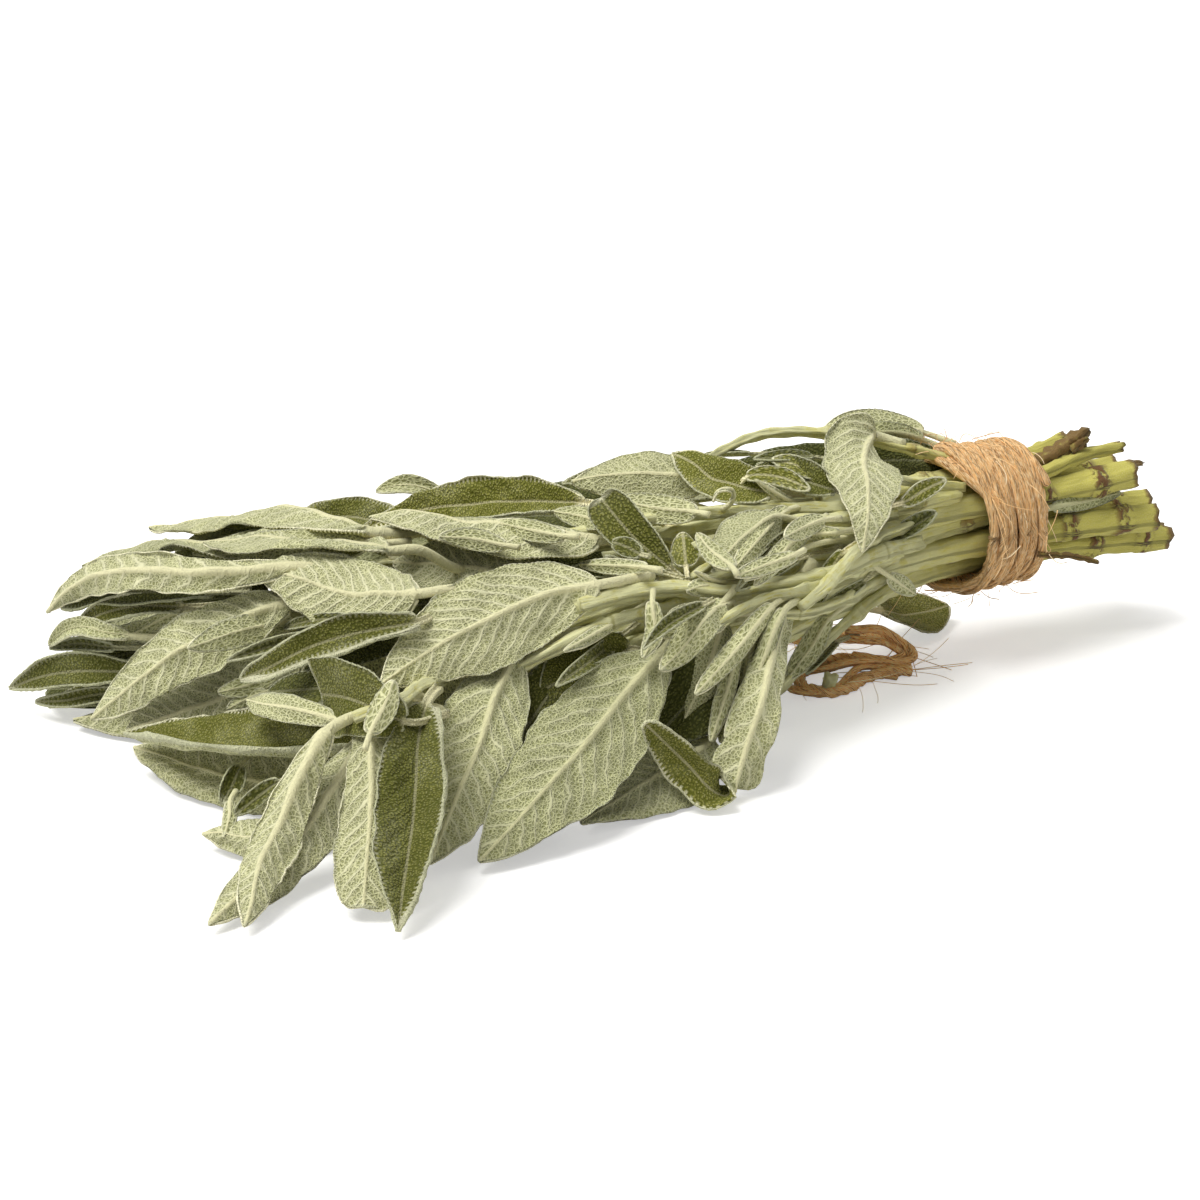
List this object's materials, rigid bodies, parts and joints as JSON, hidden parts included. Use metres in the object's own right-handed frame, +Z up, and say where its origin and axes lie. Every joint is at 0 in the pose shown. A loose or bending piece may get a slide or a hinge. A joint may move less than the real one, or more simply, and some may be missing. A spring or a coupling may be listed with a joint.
{
  "type": "tied sage bunch",
  "caption": "Fresh sage stems with long felted leaves, tied near the cut ends with jute twine and lying flat.",
  "frame": {"origin": "centre of the bottom of the bounding box, on the surface that the bunch lies on", "axes": "+X along the stems, from the leaf tips to the cut ends, +Z up"},
  "size_m": [0.2472, 0.148, 0.0501],
  "materials": {
    "stem": "matt, finely downy",
    "leaf_underside": "matt grey-green felt with raised pale veins",
    "leaf_upper_side": "matt, pebbled olive green",
    "twine": "rough natural jute"
  },
  "bodies": {
    "root": {"stem_1": "stem", "stem_2": "stem", "stem_3": "stem", "stem_4": "stem", "stem_5": "stem", "stem_6": "stem", "stem_7": "stem", "stem_8": "stem", "stem_9": "stem", "leaf_floor_tie": "leaf_upper_side", "leaf_floor_front": "leaf_underside", "leaf_floor_curl": "leaf_underside", "leaf_floor_left": "leaf_underside", "leaf_floor_near": "leaf_underside", "leaf_floor_middle": "leaf_upper_side", "leaf_floor_far": "leaf_underside", "leaf_floor_back": "leaf_underside", "leaf_left_low": "leaf_upper_side", "leaf_far_third": "leaf_underside", "leaf_far_fourth": "leaf_underside", "leaf_far_first": "leaf_underside", "leaf_far_second": "leaf_underside", "leaf_near_dark": "leaf_upper_side", "leaf_left_tip": "leaf_upper_side", "leaf_left_shade": "leaf_underside", "leaf_left_third": "leaf_underside", "leaf_left_second": "leaf_upper_side", "leaf_front_long": "leaf_upper_side", "leaf_near_second": "leaf_underside", "leaf_side_curled": "leaf_underside", "leaf_side_second": "leaf_underside", "leaf_side_first": "leaf_underside", "leaf_near_broad": "leaf_underside", "leaf_side_pale": "leaf_underside", "leaf_front_under": "leaf_underside", "leaf_front_blunt": "leaf_underside", "leaf_front_pale": "leaf_underside", "leaf_front_dark": "leaf_upper_side", "leaf_front_square": "leaf_upper_side", "leaf_left_pale": "leaf_underside", "leaf_left_arched": "leaf_underside", "leaf_back_wide": "leaf_underside", "leaf_middle_broad": "leaf_underside", "leaf_middle_shade": "leaf_underside", "leaf_middle_pale": "leaf_underside", "leaf_middle_back": "leaf_underside", "leaf_back_second": "leaf_underside", "leaf_back_dark": "leaf_upper_side", "leaf_top_long": "leaf_underside", "leaf_top_golden": "leaf_upper_side", "leaf_top_upright": "leaf_upper_side", "leaf_ridge_rolled": "leaf_underside", "leaf_ridge_far": "leaf_upper_side", "leaf_ridge_pale": "leaf_underside", "leaf_ridge_grey": "leaf_upper_side", "leaf_ridge_small": "leaf_upper_side", "leaf_tie_hanging": "leaf_underside", "leaf_tie_folded": "leaf_underside", "twine_wrap": "twine", "twine_tail": "twine"}
  },
  "joints": []
}
